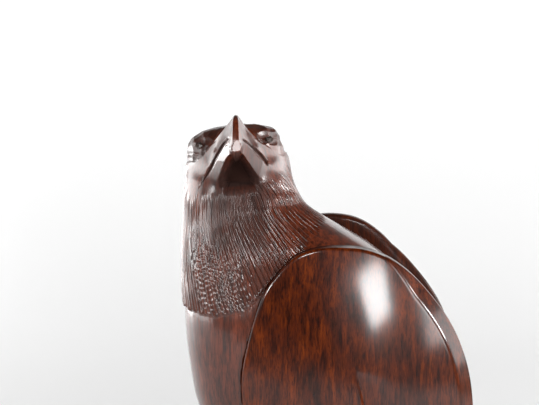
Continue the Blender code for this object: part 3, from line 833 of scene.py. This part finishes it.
def build_leg(side):
    rows, cols = 120, 132
    t = np.linspace(0, 6, rows)
    z, cy, hx, hy = (catmull(LEG, t)[:, i][:, None] for i in range(4))
    a = (np.arange(cols) / cols * 2 * math.pi)[None, :] * np.ones_like(z)
    P = np.stack([side * LEG_X + hx * np.sin(a), cy - hy * np.cos(a), z * np.ones_like(a)], -1)
    thigh = sstep(4.9, 3.9, t[:, None])
    strand = np.floor(a / (2 * math.pi) * 33)
    g = a / (2 * math.pi) * 33 - strand
    lock = (z * 0.11 + 0.37 * hash2(strand, strand * 0 + 3, 7)) % 1.0
    groove = 1 - np.sin(math.pi * np.clip(g + 0.12 * np.sin(z * 0.5 + strand), 0, 1)) ** 0.6
    deep = thigh * (0.75 * groove + 0.7 * (1 - lock) ** 2 * sstep(0, 0.12, lock))
    scale = 1 - np.abs(np.sin(math.pi * (z / 2.1 + 0.5 * np.floor(a / (2 * math.pi) * 12) % 1.0)))
    seam = 1 - np.abs(np.sin(math.pi * a / (2 * math.pi) * 12))
    deep = deep + (1 - thigh) * (0.35 * scale ** 3 + 0.3 * seam ** 4)
    end = sstep(6.0, 5.8, t[:, None])
    P = P + inward(P) * (deep * end)[..., None]
    v, f = closed_grid(P)
    # painted shade in the leg's grooves and scale cuts, by their depth
    parts = [(v, f, np.r_[np.clip(0.6 * deep * end, 0, 1).ravel(), 0, 0])]
    claws = []
    for heading, reach in TOES:
        ang = math.radians(heading * side)
        way = np.array((math.sin(ang), -math.cos(ang), 0.0))
        across = np.array((way[1], -way[0], 0.0))
        root = np.array((side * LEG_X, 13.6, 0.0))

        def ring(u, count, skin):
            toe = 4.3 - 1.3 * u + 0.5 * math.sin(3 * math.pi * u)
            nail = 2.64 * (1 - u) / 0.28 + 0.5
            mixw = float(sstep(0.66, 0.76, u))
            r = toe * (1 - mixw) + nail * mixw
            height = 1.15 - 0.2 * mixw
            mid = r * height
            if u > 0.72:
                mid = max(mid, 0.4 + 2.6 * (1 - u) / 0.28)
            if skin:
                r -= 0.34 * abs(math.sin(math.pi * u * reach / 2.3)) ** 6
            else:
                r *= 0.93
            b = np.arange(count) / count * 2 * math.pi
            centre = root + way * (2.0 + (reach - 2.0) * u) + np.array((0, 0, FOOT_Z + mid))
            return (centre + across * (r * np.sin(b))[:, None]
                    + np.stack([0 * b, 0 * b, r * height * np.cos(b)], -1))

        skin = np.array([ring(u, 28, True) for u in np.linspace(0, 0.76, 46)])
        last = skin[-1].mean(0)
        skin = np.concatenate([skin, [last + (skin[-1] - last) * 0.82 + way * 0.15]])
        v, f = closed_grid(skin)
        parts.append((v, f, np.zeros(len(v))))
        nail = np.array([ring(u, 20, False) for u in np.linspace(0.72, 1.0, 18)])
        v, f = closed_grid(nail)
        claws.append((v, f, np.zeros(len(v))))
    return join(parts), join(claws)


def build_stump():
    rows, cols = 110, 240
    t = np.linspace(0, 7, rows)
    z, hx, hy = (catmull(STUMP, t)[:, i][:, None] for i in range(3))
    a = np.arange(cols) / cols * 2 * math.pi
    c, s2 = superpoints(cols, 2.4)
    fade = np.clip((58.0 - z) / 30.0, 0, 1)
    lump = 1 + fade * (0.022 * np.sin(5 * a[None] + 0.06 * z) + 0.016 * np.sin(9 * a[None] - 0.09 * z + 1.3))
    P = np.stack([hx * s2 * lump, 20 - hy * c * lump, z * np.ones_like(lump)], -1)
    Q = P.reshape(-1, 3)
    G = np.stack([a[None] * 47 * np.ones_like(z), z * np.ones_like(lump) * 0.55], -1).reshape(-1, 2)
    size = 9.0
    wrap = int(round(2 * math.pi * 47 / size))
    G[:, 0] *= wrap * size / (2 * math.pi * 47)
    cell = np.floor(G / size).astype(int)
    best = np.full(len(G), 1e9)
    for dx in (-1, 0, 1):
        for dy in (-1, 0, 1):
            k = cell + np.array((dx, dy))
            key = k[:, 0] % wrap
            jx, jy = hash2(key, k[:, 1], 91), hash2(key, k[:, 1], 92)
            centre = (k + 0.15 + 0.7 * np.stack([jx, jy], -1)) * size
            best = np.minimum(best, np.sum((G - centre) ** 2, 1) + 9 * hash2(key, k[:, 1], 93))
    scoop = np.clip(1.5 - 0.045 * best, 0.0, 1.5).reshape(P.shape[:2])
    grain = 0.16 * noise2(a[None] * 40 * np.ones_like(z), z * np.ones_like(lump) / 14.0, 5)
    deep = (scoop + grain) * sstep(0, 0.4, t[:, None]) * sstep(7.0, 6.4, t[:, None])
    P = P + inward(P) * deep[..., None]
    v_rows = [P]
    centre = np.array((1.5, 16.0, 60.0))
    rim = P[-1]
    dark = [np.clip(0.25 * (0.6 - scoop) * sstep(0, 1, t[:, None]), 0, 1)]
    for k in range(1, 34):
        f = 1 - k / 34.0
        ring = centre + (rim - centre) * f
        rad = np.hypot(ring[:, 0] - centre[0], ring[:, 1] - centre[1])
        wave = 0.5 + 0.5 * np.sin(2 * math.pi * rad / 3.3 + 0.7 * np.sin(3 * a) + 0.4 * np.sin(7 * a + k * 0.1))
        ring[:, 2] = 60.0 - 0.16 * wave * min(1.0, k / 2.0)
        v_rows.append(ring[None])
        dark.append((0.40 * wave ** 2)[None] * np.ones((1, cols)))
    P = np.concatenate(v_rows)
    v, f = closed_grid(P)
    return v, f, np.r_[np.concatenate(dark).ravel(), 0, 0]


def build_pad():
    a = np.arange(120) / 120 * 2 * math.pi
    rows = []
    for inset, z in ((2.0, 0.0), (0.6, 0.0), (0.0, 0.4), (0.0, 1.1), (0.6, 1.5), (2.0, 1.5)):
        fuzz = inset + 0.15 * (1 + np.sin(37 * a + 9 * z))
        rows.append(np.stack([(42 - fuzz) * np.cos(a), 20 + (52 - fuzz) * np.sin(a), 0 * a + z], -1))
    v, f = closed_grid(np.array(rows))
    return v, f, np.zeros(len(v))


def cut_bead(centre, radii, turn):
    """An eye left as a small faceted boss, cut with the tip of a knife."""
    g = (1 + 5 ** 0.5) / 2
    v = np.array([(-1, g, 0), (1, g, 0), (-1, -g, 0), (1, -g, 0), (0, -1, g), (0, 1, g), (0, -1, -g),
                  (0, 1, -g), (g, 0, -1), (g, 0, 1), (-g, 0, -1), (-g, 0, 1)], float)
    v /= np.linalg.norm(v[0])
    c, s2 = math.cos(turn), math.sin(turn)
    v = v @ np.array(((1, 0, 0), (0, c, -s2), (0, s2, c)))
    f = [(0, 11, 5), (0, 5, 1), (0, 1, 7), (0, 7, 10), (0, 10, 11), (1, 5, 9), (5, 11, 4), (11, 10, 2),
         (10, 7, 6), (7, 1, 8), (3, 9, 4), (3, 4, 2), (3, 2, 6), (3, 6, 8), (3, 8, 9), (4, 9, 5), (2, 4, 11),
         (6, 2, 10), (8, 6, 7), (9, 8, 1)]
    return centre + v * np.array(radii), f


# ------------------------------------------------------------------ materials
def nodes_of(name):
    mat = bpy.data.materials.new(name)
    mat.use_nodes = True
    nt = mat.node_tree
    return mat, nt, nt.nodes["Principled BSDF"]


def ironwood(name, light, mid, dark, rough=0.30, coat=0.6, coat_rough=0.12, bump=0.10, streak=1.0, spec=0.2,
             specks=0.5, grain_axis=(1.0, 1.0, 0.10)):
    mat, nt, bsdf = nodes_of(name)
    N, L = nt.nodes, nt.links
    tc = N.new("ShaderNodeTexCoord")

    def mapping(scale, rot=(0, 0, 0)):
        m = N.new("ShaderNodeMapping")
        m.inputs["Scale"].default_value = scale
        m.inputs["Rotation"].default_value = rot
        L.new(tc.outputs["Object"], m.inputs["Vector"])
        return m.outputs["Vector"]

    def noise(vec, scale, detail=4, rough_=0.55, dist=0.0):
        n = N.new("ShaderNodeTexNoise")
        n.inputs["Scale"].default_value = scale
        n.inputs["Detail"].default_value = detail
        n.inputs["Roughness"].default_value = rough_
        n.inputs["Distortion"].default_value = dist
        L.new(vec, n.inputs["Vector"])
        return n.outputs["Fac"]

    def ramp(fac, stops):
        r = N.new("ShaderNodeValToRGB")
        while len(r.color_ramp.elements) > 1:
            r.color_ramp.elements.remove(r.color_ramp.elements[-1])
        for i, (p, c) in enumerate(stops):
            e = r.color_ramp.elements[0] if i == 0 else r.color_ramp.elements.new(p)
            e.position = p
            e.color = (*c, 1) if len(c) == 3 else c
        L.new(fac, r.inputs["Fac"])
        return r.outputs["Color"]

    def mix(a, b, fac, kind="MIX"):
        m = N.new("ShaderNodeMix")
        m.data_type = "RGBA"
        m.blend_type = kind
        for src, key in ((a, 6), (b, 7)):
            if isinstance(src, tuple):
                m.inputs[key].default_value = (*src, 1)
            else:
                L.new(src, m.inputs[key])
        if isinstance(fac, (int, float)):
            m.inputs[0].default_value = fac
        else:
            L.new(fac, m.inputs[0])
        return m.outputs[2]

    gx, gy, gz = grain_axis
    long_grain = mapping((gx, gy, gz), (math.radians(4), math.radians(-3), 0))
    broad = noise(mapping((gx, gy, 0.20), (math.radians(4), math.radians(-3), 0)), 210, 5, 0.68, 0.4)
    fine = noise(long_grain, 620, 4, 0.65, 0.15)
    pores = noise(mapping((gx, gy, gz * 1.5), (math.radians(3), 0, 0)), 1500, 2, 0.6)
    patch = noise(mapping((1, 1, 0.55)), 48, 3, 0.55, 0.6)
    base = ramp(broad, [(0.30, dark), (0.47, mid), (0.76, light)])
    tint = ramp(patch, [(0.34, tuple(0.40 * c for c in mid)), (0.52, mid), (0.72, light)])
    col = mix(base, tint, 0.30)
    lines = ramp(fine, [(0.36, (0.16, 0.13, 0.12)), (0.54, (1.15, 1.15, 1.15))])
    col = mix(col, lines, 0.75 * streak, "MULTIPLY")
    dots = ramp(pores, [(0.38, (0.18, 0.15, 0.13)), (0.50, (1.1, 1.1, 1.1))])
    col = mix(col, dots, 0.8 * specks, "MULTIPLY")
    # painted shade: the 'cavity' attribute pulls the base colour towards near black in hollows, grooves and overlaps
    # (and the stump's rings and gouge rims)
    cav = N.new("ShaderNodeAttribute")
    cav.attribute_name = "cavity"
    col = mix(col, (0.017, 0.0055, 0.0035), cav.outputs["Fac"])
    L.new(col, bsdf.inputs["Base Color"])
    rr = N.new("ShaderNodeMapRange")
    rr.inputs["To Min"].default_value = rough * 0.85
    rr.inputs["To Max"].default_value = rough * 1.25
    L.new(fine, rr.inputs["Value"])
    dull = N.new("ShaderNodeMath")
    dull.operation = "MAXIMUM"
    L.new(rr.outputs["Result"], dull.inputs[0])
    L.new(cav.outputs["Fac"], dull.inputs[1])
    L.new(dull.outputs["Value"], bsdf.inputs["Roughness"])
    thin = N.new("ShaderNodeMath")          # the varnish is thin in the hollows
    thin.operation = "MULTIPLY_ADD"
    thin.inputs[1].default_value, thin.inputs[2].default_value = -coat, coat
    L.new(cav.outputs["Fac"], thin.inputs[0])
    L.new(thin.outputs["Value"], bsdf.inputs["Coat Weight"])
    bsdf.inputs["Coat Roughness"].default_value = coat_rough
    bsdf.inputs["Coat IOR"].default_value = 1.5
    bsdf.inputs["IOR"].default_value = 1.5
    bsdf.inputs["Specular IOR Level"].default_value = spec
    bmp = N.new("ShaderNodeBump")
    bmp.inputs["Strength"].default_value = bump
    bmp.inputs["Distance"].default_value = 0.0003
    L.new(fine, bmp.inputs["Height"])
    L.new(bmp.outputs["Normal"], bsdf.inputs["Normal"])
    return mat


WOOD_BODY = ironwood("ironwood_polished", (0.130, 0.023, 0.006), (0.064, 0.012, 0.004), (0.014, 0.005, 0.003),
                     rough=0.34, coat=0.85, coat_rough=0.135)
WOOD_HEAD = ironwood("ironwood_satin", (0.130, 0.023, 0.006), (0.064, 0.012, 0.004), (0.014, 0.005, 0.003),
                     rough=0.36, coat=0.95, coat_rough=0.21)
WOOD_WING = ironwood("ironwood_figured", (0.135, 0.0225, 0.0009), (0.045, 0.0064, 0.0006), (0.006, 0.0025, 0.0006),
                     rough=0.30, coat=0.65, coat_rough=0.13, specks=0.8, spec=0.08)
WOOD_DARK = ironwood("ironwood_stump", (0.070, 0.026, 0.013), (0.036, 0.014, 0.008), (0.014, 0.007, 0.005),
                     rough=0.42, coat=0.25, coat_rough=0.25, bump=0.3)


def plain(name, colour, rough, metal=0.0, scale=500, vary=0.25, bump=0.1, coat=0.0):
    mat, nt, bsdf = nodes_of(name)
    N, L = nt.nodes, nt.links
    tc = N.new("ShaderNodeTexCoord")
    n = N.new("ShaderNodeTexNoise")
    n.inputs["Scale"].default_value = scale
    n.inputs["Detail"].default_value = 4
    L.new(tc.outputs["Object"], n.inputs["Vector"])
    r = N.new("ShaderNodeValToRGB")
    r.color_ramp.elements[0].position, r.color_ramp.elements[1].position = 0.3, 0.7
    r.color_ramp.elements[0].color = (*[c * (1 - vary) for c in colour], 1)
    r.color_ramp.elements[1].color = (*[min(1, c * (1 + vary)) for c in colour], 1)
    L.new(n.outputs["Fac"], r.inputs["Fac"])
    L.new(r.outputs["Color"], bsdf.inputs["Base Color"])
    m = N.new("ShaderNodeMapRange")
    m.inputs["To Min"].default_value, m.inputs["To Max"].default_value = rough * 0.8, min(1, rough * 1.2)
    L.new(n.outputs["Fac"], m.inputs["Value"])
    L.new(m.outputs["Result"], bsdf.inputs["Roughness"])
    bsdf.inputs["Metallic"].default_value = metal
    bsdf.inputs["Coat Weight"].default_value = coat
    b = N.new("ShaderNodeBump")
    b.inputs["Strength"].default_value, b.inputs["Distance"].default_value = bump, 0.0003
    L.new(n.outputs["Fac"], b.inputs["Height"])
    L.new(b.outputs["Normal"], bsdf.inputs["Normal"])
    return mat


DOWEL = plain("dowel_birch", (0.60, 0.44, 0.26), 0.6, scale=900)
BEAD = plain("eye_bead", (0.030, 0.016, 0.011), 0.16, scale=700, bump=0.02, coat=1.0)
HORN = plain("claw_dark", (0.020, 0.009, 0.006), 0.22, scale=500, bump=0.04, coat=0.6)
STEEL = plain("screw_steel", (0.55, 0.54, 0.52), 0.3, 1.0, scale=1500)
FELT = plain("felt_brown", (0.075, 0.045, 0.030), 0.95, scale=2500, vary=0.5, bump=0.8)


def dress(obj, mat):
    obj.data.materials.clear()
    obj.data.materials.append(mat)


# ------------------------------------------------------------------ pieces
for (v, f, painted_shade_and_grain), label, wood in zip(build_body(), ("carved_head_fine", "carved_body_fine"),
                                     (WOOD_HEAD, WOOD_BODY)):
    body = add_mesh(label, v, f, painted_shade_and_grain=painted_shade_and_grain)
    dress(body, wood)
    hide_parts("carved_body")

for side, label in ((1, "left"), (-1, "right")):
    v, f, painted_shade_and_grain = build_wing(side, label)
    wing = add_mesh(label + "_wing_fine", v, f, painted_shade_and_grain=painted_shade_and_grain)
    wing.data.set_sharp_from_angle(angle=math.radians(48))
    dress(wing, WOOD_WING)
    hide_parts(label + "_wing")

tail = add_mesh("tail_fine", *build_tail()[:2], painted_shade_and_grain=build_tail()[2])
dress(tail, WOOD_BODY)
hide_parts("tail")

for side, label in ((1, "left"), (-1, "right")):
    skin, claws = build_leg(side)
    leg = add_mesh(label + "_leg_fine", skin[0], skin[1], painted_shade_and_grain=skin[2])
    dress(leg, WOOD_BODY)
    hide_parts(label + "_leg")
    nails = add_mesh(label + "_claws_fine", claws[0], claws[1], painted_shade_and_grain=claws[2])
    dress(nails, HORN)
    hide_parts(label + "_leg")
    # the brow cuts lie behind the plain solid's face, so the eye is set back onto them
    away = EYES[side] - np.array((944.0, 0.0, 364.0))
    seat = EYES[side] + np.array((-0.9, 0.0, 0.0)) + 7.0 * away / np.linalg.norm(away)
    v, f = cut_bead(seat, (1.9, 2.3, 1.9), 0.35 + 0.5 * side)
    eye = add_mesh(label + "_eye_fine", v, f, smooth=False)
    dress(eye, BEAD)
    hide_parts(label + "_eye")

v, f, painted_shade_and_grain = build_stump()
stump = add_mesh("stump_fine", v, f, painted_shade_and_grain=painted_shade_and_grain)
dress(stump, WOOD_DARK)
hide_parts("stump_base")

v, f, painted_shade_and_grain = build_pad()
pad = add_mesh("felt_fine", v, f, painted_shade_and_grain=painted_shade_and_grain)
dress(pad, FELT)
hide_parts("felt_pad")

for name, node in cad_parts.items():
    mat = (WOOD_BODY if name in ("tail", "left_leg", "right_leg") else
           WOOD_DARK if name == "stump_base" else
           FELT if name == "felt_pad" else
           BEAD if name.endswith("eye") else
           STEEL if name.endswith("screw") else
           DOWEL if "dowel" in name else None)
    if mat:
        node.data.materials.clear()
        node.data.materials.append(mat)
        for poly_slot in node.material_slots:
            poly_slot.material = mat

# ------------------------------------------------------------------ floor, light, camera
def stage_mesh(name, verts, faces, mat):
    mesh = bpy.data.meshes.new(name)
    mesh.from_pydata(verts, [], faces)
    mesh.materials.append(mat)
    obj = bpy.data.objects.new(name, mesh)
    bpy.context.scene.collection.objects.link(obj)
    return obj


floor_mat, nt, bsdf = nodes_of("floor_pale")
bsdf.inputs["Base Color"].default_value = (0.70, 0.70, 0.70, 1)
bsdf.inputs["Roughness"].default_value = 0.8
tc = nt.nodes.new("ShaderNodeTexCoord")
sx = nt.nodes.new("ShaderNodeSeparateXYZ")
nt.links.new(tc.outputs["Object"], sx.inputs["Vector"])
far = nt.nodes.new("ShaderNodeMapRange")       # the sweep glows more towards the wall and the top
far.inputs["From Min"].default_value, far.inputs["From Max"].default_value = -0.2, -1.5
far.inputs["To Min"].default_value, far.inputs["To Max"].default_value = 0.0, 0.36
nt.links.new(sx.outputs["X"], far.inputs["Value"])
high = nt.nodes.new("ShaderNodeMapRange")
high.inputs["From Min"].default_value, high.inputs["From Max"].default_value = 0.0, 0.9
high.inputs["To Min"].default_value, high.inputs["To Max"].default_value = 0.0, 0.11
nt.links.new(sx.outputs["Z"], high.inputs["Value"])
glow = nt.nodes.new("ShaderNodeMath")
nt.links.new(far.outputs["Result"], glow.inputs[0])
nt.links.new(high.outputs["Result"], glow.inputs[1])
bsdf.inputs["Emission Color"].default_value = (1, 1, 1, 1)
nt.links.new(glow.outputs["Value"], bsdf.inputs["Emission Strength"])
profile = [(3.4, 0.0), (1.3, 0.0), (0.6, 0.0), (0.0, 0.0), (-0.5, 0.0)]
profile += [(-0.9 - 0.8 * math.sin(t), 0.8 - 0.8 * math.cos(t)) for t in np.linspace(0, math.pi / 2, 24)]
profile += [(-1.7, 0.95)]
sv, sf = [], []
for i, (px, pz) in enumerate(profile):
    sv += [(px, -3.0, pz), (px, 3.0, pz)]
    if i:
        k = 2 * i
        sf.append((k - 2, k - 1, k + 1, k))
sweep = stage_mesh("sweep", sv, sf, floor_mat)
sweep.data.shade_smooth()

world = bpy.data.worlds.new("studio")
bpy.context.scene.world = world
world.use_nodes = True
wn, wl = world.node_tree.nodes, world.node_tree.links
wtc = wn.new("ShaderNodeTexCoord")
wx = wn.new("ShaderNodeSeparateXYZ")
wl.new(wtc.outputs["Generated"], wx.inputs["Vector"])


def wrange(src, a, b, lo, hi):
    m = wn.new("ShaderNodeMapRange")
    m.interpolation_type = "SMOOTHSTEP"
    for key, val in (("From Min", a), ("From Max", b), ("To Min", lo), ("To Max", hi)):
        m.inputs[key].default_value = val
    wl.new(src, m.inputs["Value"])
    return m.outputs["Result"]


def wmul(a, b):
    m = wn.new("ShaderNodeMath")
    m.operation = "MULTIPLY"
    wl.new(a, m.inputs[0])
    wl.new(b, m.inputs[1])
    return m.outputs["Value"]


behind = wrange(wx.outputs["X"], 0.35, -0.30, 0.03, 0.95)
roof = wrange(wx.outputs["Z"], 0.10, 0.50, 1.0, 0.12)
level = wmul(behind, roof)
wl.new(level, wn["Background"].inputs["Strength"])
wn["Background"].inputs["Color"].default_value = (1.0, 0.985, 0.97, 1)

cam_target = Vector((0, SHIFT * 0.001, 0.25625))
cam_data = bpy.data.cameras.new("camera")
cam_data.lens = 126.9
cam_data.sensor_width = 36
cam_data.clip_end = 30
cam = bpy.data.objects.new("camera", cam_data)
bpy.context.scene.collection.objects.link(cam)
el = math.radians(6.5)
cam.location = cam_target + Vector((math.cos(el), 0, math.sin(el))) * 0.95
cam.rotation_euler = (cam_target - cam.location).to_track_quat("-Z", "Y").to_euler()
bpy.context.scene.camera = cam
bpy.context.scene.view_settings.view_transform = "Standard"


def area(name, loc, target, size, power, size_y=None, colour=(1, 1, 1)):
    data = bpy.data.lights.new(name, "AREA")
    data.energy = power
    data.color = colour
    data.size = size
    if size_y:
        data.shape = "RECTANGLE"
        data.size_y = size_y
    obj = bpy.data.objects.new(name, data)
    bpy.context.scene.collection.objects.link(obj)
    obj.location = loc
    obj.rotation_euler = (Vector(target) - Vector(loc)).to_track_quat("-Z", "Y").to_euler()
    return obj


centre = (0, 0, 0.2)
key = area("softbox_key", (1.28, 0.215, 0.40), (0.05, 0.0, 0.21), 0.19, 5.4, size_y=0.22)
key.rotation_euler = (key.rotation_euler.to_quaternion() @ Quaternion((0, 0, 1), math.radians(22))).to_euler()
area("softbox_left", (-0.45, -1.45, 0.37), (0, -0.04, 0.24), 1.7, 17, size_y=0.7)
area("softbox_back_left", (-1.08, -0.98, 0.13), (0, -0.02, 0.17), 0.9, 5.4, size_y=0.24)
area("softbox_right", (-0.35, 1.35, 0.56), (0, 0, 0.27), 1.3, 11, size_y=0.58)
area("softbox_back_right", (-1.0, 1.05, 0.40), (0, 0, 0.25), 0.9, 2.5, size_y=0.8)
area("softbox_small", (0.42, 1.1, 0.62), (0, 0, 0.25), 0.22, 14, size_y=0.3)
area("softbox_halo", (1.05, 0.66, 0.44), (0, 0, 0.22), 0.36, 6.5, size_y=0.45)
area("softbox_high", (1.08, -0.33, 0.84), (0, 0, 0.22), 0.18, 4.2)
area("fill_front", (0.82, -1.02, 0.58), (0, 0, 0.21), 0.24, 8)
